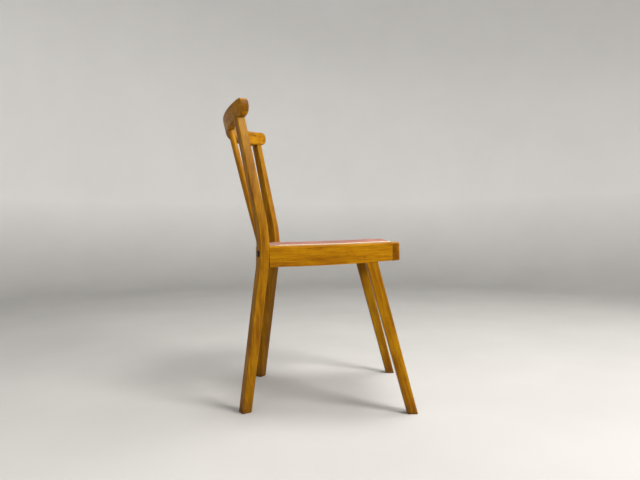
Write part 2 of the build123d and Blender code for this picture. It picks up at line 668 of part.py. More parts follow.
# Bolts through the rear legs, with their washers and nuts.
with BuildPart() as rear_leg_bolts:
    for side in SIDES.values():
        extrude(disc(bolt_plane(side, BOLT_SEAT_OUT), BOLT_HEAD_RADIUS), amount=-BOLT_HEAD_HEIGHT)
        extrude(disc(bolt_plane(side, BOLT_SEAT_OUT), BOLT_RADIUS), amount=BOLT_LENGTH)
    round_edges = rear_leg_bolts.edges().filter_by(GeomType.CIRCLE)
    head_rims = round_edges.filter_by(lambda rim: rim.length > BOLT_HEAD_RIM)
    fillet(head_rims.sort_by(lambda rim: rim.arc_center.Y)[-2:], BOLT_HEAD_ROUND)

with BuildPart() as rear_leg_washers:
    for side in SIDES.values():
        extrude(disc(bolt_plane(side, BLOCK_FACE_OUT), WASHER_RADIUS), amount=WASHER_THICKNESS)
        extrude(
            disc(bolt_plane(side, BLOCK_FACE_OUT), BOLT_RADIUS + CLEARANCE),
            amount=WASHER_THICKNESS,
            mode=Mode.SUBTRACT,
        )

with BuildPart() as rear_leg_nuts:
    for side in SIDES.values():
        with BuildSketch(bolt_plane(side, BLOCK_FACE_OUT - WASHER_THICKNESS)):
            RegularPolygon(NUT_RADIUS, 6)
            Circle(BOLT_RADIUS + CLEARANCE, mode=Mode.SUBTRACT)
        extrude(amount=NUT_HEIGHT)

# Screws from inside the frame into the front legs and rails, and from under the blocks into the panel.
leg_screws = []
panel_screws = []
dowels = []
for side in SIDES.values():
    leg_screws += [wood_screw(plane, LEG_SCREW_LENGTH) for plane in leg_screw_planes(side)]
    panel_screws += [wood_screw(plane, PANEL_SCREW_LENGTH) for plane in panel_screw_planes(side)]
    dowels += [rod(plane, DOWEL_RADIUS, DOWEL_LENGTH) for plane in dowel_planes(side)]
tacks = [tack(plane) for plane in tack_planes()]

with BuildPart() as front_leg_screws:
    add(leg_screws)

with BuildPart() as block_screws:
    add(panel_screws)

with BuildPart() as frame_dowels:
    add(dowels)

with BuildPart() as cover_tacks:
    add(tacks)

pieces = {
    "rear_leg_left": rear_leg_left,
    "rear_leg_right": rear_leg_right,
    "crest_rail": crest_rail,
    "side_rail_left": side_rail_left,
    "side_rail_right": side_rail_right,
    "front_rail": front_rail,
    "rear_rail": rear_rail,
    "front_leg_left": front_leg_left,
    "front_leg_right": front_leg_right,
    "rear_block_left": rear_block_left,
    "rear_block_right": rear_block_right,
    "front_block_left": front_block_left,
    "front_block_right": front_block_right,
    "seat_panel": seat_panel,
    "seat_foam": seat_foam,
    "seat_cover": seat_cover,
    "seat_piping": seat_piping,
    "rear_leg_bolts": rear_leg_bolts,
    "rear_leg_washers": rear_leg_washers,
    "rear_leg_nuts": rear_leg_nuts,
    "front_leg_screws": front_leg_screws,
    "block_screws": block_screws,
    "frame_dowels": frame_dowels,
    "cover_tacks": cover_tacks,
}
pieces.update(spindles)

os.makedirs("parts", exist_ok=True)
for name, piece in pieces.items():
    piece.part.label = name
    export_step(piece.part, f"parts/{name}.step")
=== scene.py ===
import bmesh
import bpy
import math
from mathutils import Matrix, Vector


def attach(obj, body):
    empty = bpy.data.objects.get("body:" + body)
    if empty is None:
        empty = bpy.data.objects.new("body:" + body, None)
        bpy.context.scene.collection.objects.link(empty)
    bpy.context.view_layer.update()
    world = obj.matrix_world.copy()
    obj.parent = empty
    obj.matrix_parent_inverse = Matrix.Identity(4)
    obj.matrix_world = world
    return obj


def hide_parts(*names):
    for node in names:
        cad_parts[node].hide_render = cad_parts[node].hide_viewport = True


# Dining chair: stained wood frame, red vinyl seat pad with cream piping. Metres, in the frame's axes.
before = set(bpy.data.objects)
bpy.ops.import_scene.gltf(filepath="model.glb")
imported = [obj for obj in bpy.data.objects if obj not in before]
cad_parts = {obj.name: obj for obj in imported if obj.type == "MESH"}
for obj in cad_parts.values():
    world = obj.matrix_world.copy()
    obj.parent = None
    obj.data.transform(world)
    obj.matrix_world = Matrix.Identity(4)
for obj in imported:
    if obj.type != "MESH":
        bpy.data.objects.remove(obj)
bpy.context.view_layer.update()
scene = bpy.context.scene

# Degrees that the rear legs' outer faces and the crest's end faces are turned from straight sideways.
LEG_TURN = 31
CREST_END_TURN = 40

# Bolt heads: depth of the crown that marks their middle, and where the painted shade round each head starts
# and ends.
BOLT_CROWN_DEPTH = 0.0004
BOLT_RIM_SHADE = (0.0030, 0.0062)

# The cloth may move the pad's skin this far sideways, up and down.
MOST_SIDEWAYS = 0.0012
MOST_RISE = 0.0032
MOST_SINK = -0.001
CLOTH_FRAMES = 20

# The pad starts this much under its crown, because the cloth lifts it.
CROWN_SPARE = 0.0012

# The seat's rear corner is found by halving an interval this many times.
CORNER_HALVINGS = 40

# Corner radii in plan of the pad, the flange's rim and the cord, and points round each.
PAD_CORNER = 0.009
FLANGE_CORNER = 0.010
CORD_CORNER = 0.011
PAD_POINTS = 240
HEM_POINTS = 420
CORD_POINTS = 560


# ---------------------------------------------------------------- node helpers
def new_material(name):
    """A material with an empty Principled tree. Returns the material, its tree and the shader."""
    material = bpy.data.materials.new(name)
    material.use_nodes = True
    tree = material.node_tree
    tree.nodes.clear()
    output = tree.nodes.new("ShaderNodeOutputMaterial")
    shader = tree.nodes.new("ShaderNodeBsdfPrincipled")
    tree.links.new(shader.outputs["BSDF"], output.inputs["Surface"])
    return material, tree, shader


def put(tree, kind, **inputs):
    """Adds a node and sets its inputs: a socket is linked, anything else is a value."""
    node = tree.nodes.new(kind)
    for key, value in inputs.items():
        socket = node.inputs[key]
        if isinstance(value, bpy.types.NodeSocket):
            tree.links.new(value, socket)
        else:
            socket.default_value = value
    return node


def coordinates(tree, stretch=(1, 1, 1), turn=(0, 0, 0), shift=(0, 0, 0)):
    """Object coordinates, turned and then stretched along a piece's own directions."""
    place = tree.nodes.new("ShaderNodeTexCoord")
    turned = put(tree, "ShaderNodeMapping", Vector=place.outputs["Object"], Rotation=turn, Location=shift)
    scaled = put(tree, "ShaderNodeMapping", Vector=turned.outputs["Vector"], Scale=stretch)
    return scaled.outputs["Vector"]


def noise(tree, where, scale, detail=3.0, rough=0.5, warp=0.0):
    """Noise between 0 and 1. A larger scale is finer."""
    node = put(tree, "ShaderNodeTexNoise", Vector=where, Scale=scale, Detail=detail, Roughness=rough)
    node.inputs["Distortion"].default_value = warp
    return node.outputs["Fac"]


def steps(tree, value, low, high, out_low=0.0, out_high=1.0):
    """A clamped remap of a value."""
    node = put(tree, "ShaderNodeMapRange", Value=value)
    node.inputs["From Min"].default_value = low
    node.inputs["From Max"].default_value = high
    node.inputs["To Min"].default_value = out_low
    node.inputs["To Max"].default_value = out_high
    return node.outputs["Result"]


def maths(tree, operation, a, b=0.0):
    """A sum on sockets or numbers."""
    node = tree.nodes.new("ShaderNodeMath")
    node.operation = operation
    for socket, value in zip(node.inputs, (a, b)):
        if isinstance(value, bpy.types.NodeSocket):
            tree.links.new(value, socket)
        else:
            socket.default_value = value
    return node.outputs[0]


def mix(tree, share, a, b):
    """Mixes two colours."""
    node = tree.nodes.new("ShaderNodeMix")
    node.data_type = "RGBA"
    for key, value in (("Factor_Float", share), ("A_Color", a), ("B_Color", b)):
        socket = next(s for s in node.inputs if s.identifier == key)
        if isinstance(value, bpy.types.NodeSocket):
            tree.links.new(value, socket)
        else:
            socket.default_value = value if key == "Factor_Float" else (*value, 1.0)
    return next(s for s in node.outputs if s.identifier == "Result_Color")


def ramp(tree, value, stops):
    """A colour for each value. Stops are pairs of a value and its colour."""
    node = put(tree, "ShaderNodeValToRGB", Fac=value)
    elements = node.color_ramp.elements
    while len(elements) < len(stops):
        elements.new(0.5)
    for element, (place, colour) in zip(elements, stops):
        element.position = place
        element.color = (*colour, 1.0)
    return node.outputs["Color"]


def edge_mask(tree, reach):
    """1 on sharp and rounded edges, 0 on flat faces."""
    bevel = tree.nodes.new("ShaderNodeBevel")
    bevel.samples = 4
    bevel.inputs["Radius"].default_value = reach
    geometry = tree.nodes.new("ShaderNodeNewGeometry")
    dot = tree.nodes.new("ShaderNodeVectorMath")
    dot.operation = "DOT_PRODUCT"
    tree.links.new(bevel.outputs["Normal"], dot.inputs[0])
    tree.links.new(geometry.outputs["True Normal"], dot.inputs[1])
    return steps(tree, dot.outputs["Value"], 0.995, 0.80)


def bump(tree, shader, height, strength, distance):
    """Fine relief on the shader's surface."""
    node = put(tree, "ShaderNodeBump", Height=height)
    node.inputs["Strength"].default_value = strength
    node.inputs["Distance"].default_value = distance
    tree.links.new(node.outputs["Normal"], shader.inputs["Normal"])


# ---------------------------------------------------------------- materials
def stained_wood(name, along, seed, light=1.0, end_facing=None):
    """Golden brown stained beech: long grain, short dark flecks, worn pale edges, dirt in low places and
    painted shade in crevices and joints.
    """
    material, tree, shader = new_material(name)
    grain_axis = Vector(along).normalized()
    turn = grain_axis.to_track_quat("Z", "X").inverted().to_euler("XYZ")
    spin = (turn.x, turn.y, turn.z)
    shift = (0.31 * seed, 0.17 * seed, 0.23 * seed)
    board = coordinates(tree, (1, 1, 0.09), spin, shift)
    fleck_space = coordinates(tree, (1, 1, 0.16), spin, shift)
    plain = coordinates(tree, (1, 1, 1), spin, shift)

    drift = noise(tree, board, 62, 3, 0.55, 0.5)
    lines = noise(tree, board, 270, 3, 0.6, 0.25)
    fine = noise(tree, board, 900, 2, 0.6)
    flecks = steps(tree, noise(tree, fleck_space, 900, 1.0, 0.4), 0.62, 0.72)
    blotch = noise(tree, plain, 14, 3, 0.6, 0.6)

    tone = maths(tree, "ADD", maths(tree, "MULTIPLY", drift, 0.62), maths(tree, "MULTIPLY", lines, 0.38))
    # light scales all the stain colours: partly each piece's own tone, partly painted shade for pieces that
    # stand in shade.
    deep = (0.20 * light, 0.062 * light, 0.0)
    middle = (0.38 * light, 0.160 * light, 0.0)
    pale = (0.52 * light, 0.250 * light, 0.002 * light)
    colour = ramp(tree, tone, [(0.36, deep), (0.50, middle), (0.64, pale)])
    stain = (0.25 * light, 0.078 * light, 0.0)
    colour = mix(tree, steps(tree, blotch, 0.35, 0.75, 0.0, 0.45), colour, stain)
    colour = mix(tree, maths(tree, "MULTIPLY", flecks, 0.35), colour, (0.16, 0.05, 0.006))

    facing = tree.nodes.new("ShaderNodeNewGeometry")
    endwise = tree.nodes.new("ShaderNodeVectorMath")
    endwise.operation = "DOT_PRODUCT"
    if end_facing is None:
        tree.links.new(facing.outputs["Normal"], endwise.inputs[0])
        endwise.inputs[1].default_value = grain_axis
        along_grain = maths(tree, "ABSOLUTE", endwise.outputs["Value"])
        end_grain = steps(tree, along_grain, 0.67, 0.77, 0.0, 0.72)
    else:
        # A bowed board: the way its left end faces, mirrored for the right end.
        where = put(tree, "ShaderNodeSeparateXYZ", Vector=facing.outputs["Position"])
        parts = put(tree, "ShaderNodeSeparateXYZ", Vector=facing.outputs["Normal"])
        outward_x = maths(tree, "MULTIPLY", parts.outputs["X"], maths(tree, "SIGN", where.outputs["X"]))
        folded = tree.nodes.new("ShaderNodeCombineXYZ")
        tree.links.new(outward_x, folded.inputs["X"])
        tree.links.new(parts.outputs["Y"], folded.inputs["Y"])
        tree.links.new(parts.outputs["Z"], folded.inputs["Z"])
        tree.links.new(folded.outputs["Vector"], endwise.inputs[0])
        endwise.inputs[1].default_value = end_facing
        end_grain = steps(tree, endwise.outputs["Value"], 0.66, 0.84, 0.0, 0.80)
    pores = steps(tree, noise(tree, plain, 1400, 2, 0.6), 0.35, 0.6, 0.7, 1.0)
    colour = mix(tree, maths(tree, "MULTIPLY", end_grain, pores), colour, (0.095, 0.026, 0.0))

    edges = edge_mask(tree, 0.0035)
    broken = steps(tree, noise(tree, plain, 160, 4, 0.65), 0.38, 0.60)
    worn = maths(tree, "MULTIPLY", maths(tree, "MULTIPLY", edges, broken), 0.55)
    colour = mix(tree, worn, colour, (0.66, 0.33, 0.02))
    chipped = steps(tree, noise(tree, plain, 210, 3, 0.7, 0.8), 0.63, 0.70)
    chips = maths(tree, "MULTIPLY", edges, chipped)
    colour = mix(tree, maths(tree, "MULTIPLY", chips, 0.75), colour, (0.055, 0.018, 0.004))
    specks = steps(tree, noise(tree, plain, 95, 2, 0.55, 1.5), 0.70, 0.76)
    colour = mix(tree, maths(tree, "MULTIPLY", specks, 0.6), colour, (0.07, 0.022, 0.004))

    place = tree.nodes.new("ShaderNodeTexCoord")
    split = put(tree, "ShaderNodeSeparateXYZ", Vector=place.outputs["Object"])
    low = steps(tree, split.outputs["Z"], 0.045, 0.0, 0.0, 1.0)
    dirt = steps(tree, noise(tree, plain, 60, 3, 0.6), 0.30, 0.62, 0.25, 1.0)
    grime = maths(tree, "MULTIPLY", low, dirt)
    colour = mix(tree, maths(tree, "MULTIPLY", grime, 0.75), colour, (0.05, 0.018, 0.006))

    # Painted shade: ambient occlusion darkens crevices and the joints between parts, where shade falls.
    occlusion = tree.nodes.new("ShaderNodeAmbientOcclusion")
    occlusion.samples = 6
    occlusion.inputs["Distance"].default_value = 0.007
    crevice_shade = steps(tree, occlusion.outputs["AO"], 0.80, 0.45, 0.0, 0.72)
    colour = mix(tree, crevice_shade, colour, (0.045, 0.013, 0.001))

    tree.links.new(colour, shader.inputs["Base Color"])
    gloss = maths(tree, "ADD", steps(tree, lines, 0.2, 0.8, 0.30, 0.40), maths(tree, "MULTIPLY", worn, 0.2))
    gloss = maths(tree, "ADD", gloss, steps(tree, blotch, 0.3, 0.8, 0.0, 0.10))
    tree.links.new(gloss, shader.inputs["Roughness"])
    shader.inputs["IOR"].default_value = 1.38
    shader.inputs["Specular IOR Level"].default_value = 0.13
    shader.inputs["Coat Weight"].default_value = 0.015
    shader.inputs["Coat Roughness"].default_value = 0.3
    relief = maths(tree, "ADD", maths(tree, "MULTIPLY", lines, 0.5), maths(tree, "MULTIPLY", fine, 0.3))
    relief = maths(tree, "SUBTRACT", relief, maths(tree, "MULTIPLY", chips, 0.8))
    relief = maths(tree, "SUBTRACT", relief, maths(tree, "MULTIPLY", flecks, 0.25))
    bump(tree, shader, relief, 0.22, 0.0006)
    return material


def bare_wood(name, along, seed, pale):
    """Unfinished light wood, for blocks, dowels and the panel."""
    material, tree, shader = new_material(name)
    turn = Vector(along).normalized().to_track_quat("Z", "X").inverted().to_euler("XYZ")
    spin = (turn.x, turn.y, turn.z)
    shift = (0.19 * seed, 0.29 * seed, 0.13 * seed)
    board = coordinates(tree, (1, 1, 0.07), spin, shift)
    drift = noise(tree, board, 45, 3, 0.6, 0.3)
    lines = noise(tree, board, 380, 3, 0.6)
    tone = maths(tree, "ADD", maths(tree, "MULTIPLY", drift, 0.6), maths(tree, "MULTIPLY", lines, 0.4))
    dark = tuple(0.55 * c for c in pale)
    colour = ramp(tree, tone, [(0.32, dark), (0.66, pale)])
    tree.links.new(colour, shader.inputs["Base Color"])
    tree.links.new(steps(tree, lines, 0.2, 0.8, 0.62, 0.82), shader.inputs["Roughness"])
    bump(tree, shader, lines, 0.35, 0.0005)
    return material


def steel(name, colour, rough, seed):
    """Metal with fine scratches, stains and brighter edges."""
    material, tree, shader = new_material(name)
    place = coordinates(tree, (1, 1, 1), (0, 0, 0), (seed, seed, seed))
    streak = coordinates(tree, (1, 0.08, 1), (0.4, 0.3, 0.9), (seed, 0, 0))
    stain = noise(tree, place, 320, 4, 0.6)
    scratch = noise(tree, streak, 2600, 2, 0.5)
    dull = tuple(0.45 * c for c in colour)
    base = mix(tree, steps(tree, stain, 0.40, 0.66), colour, dull)
    bright = tuple(min(1.0, 1.9 * c + 0.03) for c in colour)
    base = mix(tree, maths(tree, "MULTIPLY", edge_mask(tree, 0.0006), 0.6), base, bright)
    tree.links.new(base, shader.inputs["Base Color"])
    shader.inputs["Metallic"].default_value = 1.0
    uneven = maths(tree, "ADD", stain, scratch)
    gloss = steps(tree, uneven, 0.7, 1.3, rough - 0.08, rough + 0.14)
    tree.links.new(gloss, shader.inputs["Roughness"])
    bump(tree, shader, maths(tree, "ADD", maths(tree, "MULTIPLY", stain, 0.5), scratch), 0.2, 0.0002)
    return material


def bolt_steel():
    """Dark steel for the bolt heads, with painted shade darkening each head round its lighter middle."""
    material = steel("dark_bolt_steel", (0.20, 0.165, 0.12), 0.38, 1.0)
    turn = math.radians(LEG_TURN)
    outward = Vector((math.sin(turn), math.cos(turn), 0))
    bolt_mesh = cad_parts["rear_leg_bolts"].data
    left_points = [v.co for v in bolt_mesh.vertices if v.co.x > 0]
    reach = max(point.dot(outward) for point in left_points)
    crown_points = [point for point in left_points if point.dot(outward) > reach - BOLT_CROWN_DEPTH]
    middle = sum(crown_points, Vector()) / len(crown_points)
    tree = material.node_tree
    shader = next(n for n in tree.nodes if n.type == "BSDF_PRINCIPLED")
    place = tree.nodes.new("ShaderNodeTexCoord")
    mirrored = tree.nodes.new("ShaderNodeVectorMath")
    mirrored.operation = "ABSOLUTE"
    tree.links.new(place.outputs["Object"], mirrored.inputs[0])
    away = tree.nodes.new("ShaderNodeVectorMath")
    away.operation = "DISTANCE"
    tree.links.new(mirrored.outputs["Vector"], away.inputs[0])
    away.inputs[1].default_value = middle
    # Painted shade: each head is darkened away from its crown, for the shade in the gap round the head.
    rim_shade = steps(tree, away.outputs["Value"], *BOLT_RIM_SHADE)
    worn_colour = shader.inputs["Base Color"].links[0].from_socket
    tree.links.new(mix(tree, rim_shade, worn_colour, (0.030, 0.024, 0.020)), shader.inputs["Base Color"])
    return material


def vinyl(name, deep, middle, pale, seed, grain=1.0):
    """Leathercloth: pebbled grain, with painted shade in the creases between the pebbles."""
    material, tree, shader = new_material(name)
    place = coordinates(tree, (1, 1, 1), (0, 0, 0), (seed, 0.3 * seed, 0))
    bent = put(tree, "ShaderNodeVectorMath")
    bent.operation = "MULTIPLY_ADD"
    wobble = put(tree, "ShaderNodeTexNoise", Vector=place, Scale=420.0, Detail=2.0)
    tree.links.new(wobble.outputs["Color"], bent.inputs[0])
    bent.inputs[1].default_value = (0.0012, 0.0012, 0.0012)
    tree.links.new(place, bent.inputs[2])
    cells = put(tree, "ShaderNodeTexVoronoi", Vector=bent.outputs["Vector"], Scale=720.0 * grain)
    cells.feature = "DISTANCE_TO_EDGE"
    pebble = steps(tree, cells.outputs["Distance"], 0.0, 0.28)
    soft = noise(tree, place, 60, 3, 0.6)
    patch = noise(tree, place, 11, 3, 0.6, 0.5)
    tone = maths(tree, "ADD", maths(tree, "MULTIPLY", patch, 0.65), maths(tree, "MULTIPLY", soft, 0.35))
    colour = ramp(tree, tone, [(0.34, deep), (0.52, middle), (0.72, pale)])
    # Painted shade: the creases between the pebbles are darkened for the shade that falls in them.
    crease_shade = tuple(0.5 * c for c in deep)
    colour = mix(tree, steps(tree, pebble, 0.0, 0.5, 0.55, 0.0), colour, crease_shade)
    tree.links.new(colour, shader.inputs["Base Color"])
    tree.links.new(steps(tree, soft, 0.3, 0.7, 0.34, 0.50), shader.inputs["Roughness"])
    shader.inputs["Sheen Weight"].default_value = 0.12
    shader.inputs["Sheen Roughness"].default_value = 0.4
    shader.inputs["Coat Weight"].default_value = 0.10
    shader.inputs["Coat Roughness"].default_value = 0.35
    relief = maths(tree, "ADD", pebble, maths(tree, "MULTIPLY", soft, 0.4))
    bump(tree, shader, relief, 0.35, 0.0004)
    return material


def painted_stage():
    """Pale floor that turns up into a paler backdrop."""
    material, tree, shader = new_material("stage_paint")
    place = coordinates(tree)
    patch = noise(tree, place, 1.5, 3, 0.6)
    split = put(tree, "ShaderNodeSeparateXYZ", Vector=place)
    floor_colour = ramp(tree, patch, [(0.3, (0.45, 0.44, 0.42)), (0.7, (0.49, 0.48, 0.46))])
    wall_colour = ramp(tree, patch, [(0.3, (0.84, 0.83, 0.81)), (0.7, (0.87, 0.86, 0.84))])
    height = steps(tree, split.outputs["Z"], 0.0, 0.9)
    tree.links.new(mix(tree, height, floor_colour, wall_colour), shader.inputs["Base Color"])
    shader.inputs["Roughness"].default_value = 0.8
    shader.inputs["Specular IOR Level"].default_value = 0.2
    return material


# ---------------------------------------------------------------- CAD pieces keep their shape
def dress(node, material):
    """Gives a CAD piece its material."""
    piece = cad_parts[node]
    for slot in piece.material_slots:
        slot.material = material
    if not piece.material_slots:
        piece.data.materials.append(material)


end_turn = math.radians(CREST_END_TURN)
crest_end_facing = (math.cos(end_turn), -math.sin(end_turn), 0.0)

# For each stained piece: the way its grain runs, its random seed and how light its stain is. That last
# factor is partly the wood's own tone and partly painted shade: the far left legs and the crest rail are
# darkened for the shade they stand in.
WOODS = {
    "rear_leg_left": ((0.02, 0.02, 1.0), 1, 0.72),
    "rear_leg_right": ((-0.02, 0.02, 1.0), 2, 0.68),
    "crest_rail": ((1.0, 0.0, 0.0), 3, 0.78),
    "side_rail_left": ((0.05, -1.0, 0.03), 4, 1.0),
    "side_rail_right": ((-0.05, -1.0, 0.03), 5, 1.0),
    "front_rail": ((1.0, 0.0, 0.0), 6, 0.95),
    "rear_rail": ((1.0, 0.0, 0.0), 7, 0.9),
    "front_leg_left": ((0.045, -0.25, -1.0), 8, 0.62),
    "front_leg_right": ((-0.045, -0.25, -1.0), 9, 0.80),
    "back_spindle_left": ((0.025, 0.22, 1.0), 10, 0.95),
    "back_spindle_middle": ((0.0, 0.22, 1.0), 11, 0.9),
    "back_spindle_right": ((-0.025, 0.22, 1.0), 12, 0.95),
}
for node, (along, seed, light) in WOODS.items():
    end_facing = crest_end_facing if node == "crest_rail" else None
    dress(node, stained_wood(node + "_wood", along, seed, light, end_facing))

beech = (0.56, 0.37, 0.19)
blocks = ("rear_block_left", "rear_block_right", "front_block_left", "front_block_right")
for seed, node in enumerate(blocks, start=1):
    dress(node, bare_wood(node + "_wood", (1, -0.4, 0), seed, beech))
dress("frame_dowels", bare_wood("dowel_wood", (0, 1, 0), 7, beech))
dress("seat_panel", bare_wood("plywood", (1, 0, 0), 5, (0.60, 0.42, 0.23)))

zinc = steel("zinc_steel", (0.56, 0.56, 0.53), 0.34, 2.0)
dress("rear_leg_bolts", bolt_steel())
for node in ("rear_leg_washers", "rear_leg_nuts", "front_leg_screws", "block_screws", "cover_tacks"):
    dress(node, zinc)

red = vinyl("seat_vinyl", (0.25, 0.075, 0.045), (0.36, 0.120, 0.078), (0.45, 0.190, 0.130), 1.0)
cream = vinyl("piping_vinyl", (0.70, 0.60, 0.38), (0.80, 0.70, 0.47), (0.86, 0.78, 0.56), 2.0, 1.3)


# ---------------------------------------------------------------- seat pad
def mesh_object(name, verts, faces, material):
    """A smooth-shaded piece made of points and faces."""
    mesh = bpy.data.meshes.new(name)
    mesh.from_pydata([tuple(v) for v in verts], [], faces)
    mesh.validate()
    mesh.materials.append(material)
    for polygon in mesh.polygons:
        polygon.use_smooth = True
    piece = bpy.data.objects.new(name, mesh)
    scene.collection.objects.link(piece)
    return piece


# The seat's plan, as the frame has it: straight tapering sides, straight front, bowed rear.
SEAT_FRONT, SEAT_CORNER = -0.224, 0.117
FRONT_HALF, REAR_HALF = 0.196, 0.178
REAR_RADIUS, REAR_BACK = 0.310, 0.174
REAR_CENTRE = REAR_BACK - REAR_RADIUS


def half_width(y):
    """Half width of the seat frame at a place from rear to front."""
    return REAR_HALF + (FRONT_HALF - REAR_HALF) * (SEAT_CORNER - y) / (SEAT_CORNER - SEAT_FRONT)


def rail_top(y):
    """Height of the seat frame's curved top edge at a place from rear to front."""
    stations = ((0.120, 0.4395), (-0.010, 0.4410), (-0.224, 0.4475))
    total = 0.0
    for here, height in stations:
        for other, _ in stations:
            if other != here:
                height *= (y - other) / (here - other)
        total += height
    return total


def resample(points, count):
    """Evenly spaced points round a closed line."""
    lengths = [0.0]
    for a, b in zip(points, points[1:] + points[:1]):
        lengths.append(lengths[-1] + (b - a).length)
    result, k = [], 0
    for i in range(count):
        target = lengths[-1] * i / count
        while lengths[k + 1] < target:
            k += 1
        share = (target - lengths[k]) / (lengths[k + 1] - lengths[k])
        result.append(points[k].lerp(points[(k + 1) % len(points)], share))
    return result


def outline(inset, corner, count):
    """The seat's plan line moved in by inset, its corners rounded, starting at the middle of the rear."""
    low, high = 0.0, REAR_BACK
    for _ in range(CORNER_HALVINGS):
        y = (low + high) / 2
        if math.hypot(half_width(y) - inset, y - REAR_CENTRE) < REAR_RADIUS - inset:
            low = y
        else:
            high = y
    sweep = math.atan2(half_width(y) - inset, y - REAR_CENTRE)
    radius = REAR_RADIUS - inset
    front = SEAT_FRONT + inset
    rear_half = []
    for i in range(25):
        angle = sweep * i / 24
        rear_half.append(Vector((radius * math.sin(angle), REAR_CENTRE + radius * math.cos(angle))))
    front_x = half_width(front) - inset
    points = rear_half + [Vector((front_x, front)), Vector((-front_x, front))]
    points += [Vector((-p.x, p.y)) for p in reversed(rear_half[1:])]
    dense = resample(points, 1400)
    step = sum((b - a).length for a, b in zip(dense, dense[1:])) / len(dense)
    reach = max(1, round(corner / step))
    smooth = []
    for i in range(len(dense)):
        window = [dense[(i + k) % len(dense)] for k in range(-reach, reach + 1)]
        smooth.append(sum(window, Vector((0, 0))) / len(window))
    return resample(smooth, count)


def crown(y):
    """How far the pad's middle stands above the rail's top."""
    share = min(1.0, max(0.0, (0.15 - y) / 0.34))
    return 0.0068 + 0.0012 * share


def rings_mesh(name, rings, material, closed=True):
    """Joins rings of equal count with quads. Open ends are closed with a face each."""
    count = len(rings[0])
    verts = [v for ring in rings for v in ring]
    faces = []
    for r in range(len(rings) - 1):
        for i in range(count):
            j = (i + 1) % count
            faces.append((r * count + i, r * count + j, (r + 1) * count + j, (r + 1) * count + i))
    if closed:
        faces.append(tuple(range(count - 1, -1, -1)))
        last = (len(rings) - 1) * count
        faces.append(tuple(last + i for i in range(count)))
    return mesh_object(name, verts, faces, material)


def ring_at(inset, corner, count, lift):
    """A ring that follows the rail's top, lift above it."""
    return [Vector((p.x, p.y, rail_top(p.y) + lift)) for p in outline(inset, corner, count)]


def pad_rings():
    """The pad before it swells. Each ring has an inset, a height over the rail and a share of the crown."""
    profile = (
        (0.0232, -0.0060, 0.0),
        (0.0228, -0.0020, 0.0),
        (0.0228, 0.0005, 0.0),
        (0.0236, 0.0022, 0.12),
        (0.0262, 0.0030, 0.32),
        (0.0320, 0.0030, 0.62),
        (0.0450, 0.0022, 0.82),
        (0.0700, 0.0010, 0.95),
        (0.1100, 0.0, 1.0),
    )
    rings = []
    for inset, base, share in profile:
        ring = []
        for p in outline(inset, PAD_CORNER, PAD_POINTS):
            lift = base + share * (crown(p.y) - CROWN_SPARE)
            ring.append(Vector((p.x, p.y, rail_top(p.y) + lift)))
        rings.append(ring)
    return rings


def apply_modifiers(piece):
    """Replaces a piece's mesh with what its modifiers make of it."""
    graph = bpy.context.evaluated_depsgraph_get()
    mesh = bpy.data.meshes.new_from_object(piece.evaluated_get(graph))
    piece.modifiers.clear()
    piece.data = mesh


pad = rings_mesh("seat_pad", pad_rings(), red)
remesh = pad.modifiers.new("remesh", "REMESH")
remesh.mode = "VOXEL"
remesh.voxel_size = 0.0042
apply_modifiers(pad)
before = [v.co.copy() for v in pad.data.vertices]
held = pad.vertex_groups.new(name="held")
for i, co in enumerate(before):
    if co.z < rail_top(co.y) - 0.0008:
        held.add([i], 1.0, "REPLACE")
cloth = pad.modifiers.new("cloth", "CLOTH")
cloth.settings.quality = 6
cloth.settings.mass = 0.4
cloth.settings.tension_stiffness = 40
cloth.settings.compression_stiffness = 40
cloth.settings.bending_stiffness = 6
cloth.settings.use_pressure = True
cloth.settings.uniform_pressure_force = 4.0
cloth.settings.vertex_group_mass = "held"
cloth.settings.effector_weights.gravity = 0.0
cloth.point_cache.frame_start, cloth.point_cache.frame_end = 1, CLOTH_FRAMES
for number in range(1, CLOTH_FRAMES + 1):
    scene.frame_set(number)
apply_modifiers(pad)
scene.frame_set(1)
for vertex, start in zip(pad.data.vertices, before):
    move = vertex.co - start
    sideways = Vector((move.x, move.y, 0))
    if sideways.length > MOST_SIDEWAYS:
        sideways *= MOST_SIDEWAYS / sideways.length
    rise = max(MOST_SINK, min(MOST_RISE, move.z))
    vertex.co = start + sideways + Vector((0, 0, rise))
pad.data.materials.clear()
pad.data.materials.append(red)
smoothing = pad.modifiers.new("smooth", "SMOOTH")
smoothing.factor, smoothing.iterations = 0.5, 4
finer = pad.modifiers.new("finer", "SUBSURF")
finer.levels = finer.render_levels = 1
apply_modifiers(pad)
for polygon in pad.data.polygons:
    polygon.use_smooth = True


def tube(name, line, radius, sides, material, wobble):
    """A round tube along a closed line of points, its radius slightly uneven."""
    count = len(line)
    rings = []
    for i, point in enumerate(line):
        along = (line[(i + 1) % count] - line[i - 1]).normalized()
        side = along.cross(Vector((0, 0, 1))).normalized()
        up = side.cross(along)
        swell = radius * (1 + wobble * math.sin(i * 1.9) * math.sin(i * 0.37))
        angles = [2 * math.pi * k / sides for k in range(sides)]
        rings.append([point + (side * math.cos(a) + up * math.sin(a)) * swell for a in angles])
    verts = [v for ring in rings for v in ring]
    faces = []
    for r in range(count):
        s = (r + 1) % count
        for k in range(sides):
            m = (k + 1) % sides
            faces.append((r * sides + k, r * sides + m, s * sides + m, s * sides + k))
    piece = mesh_object(name, verts, faces, material)
    edit = bmesh.new()
    edit.from_mesh(piece.data)
    bmesh.ops.recalc_face_normals(edit, faces=edit.faces)
    edit.to_mesh(piece.data)
    edit.free()
    return piece


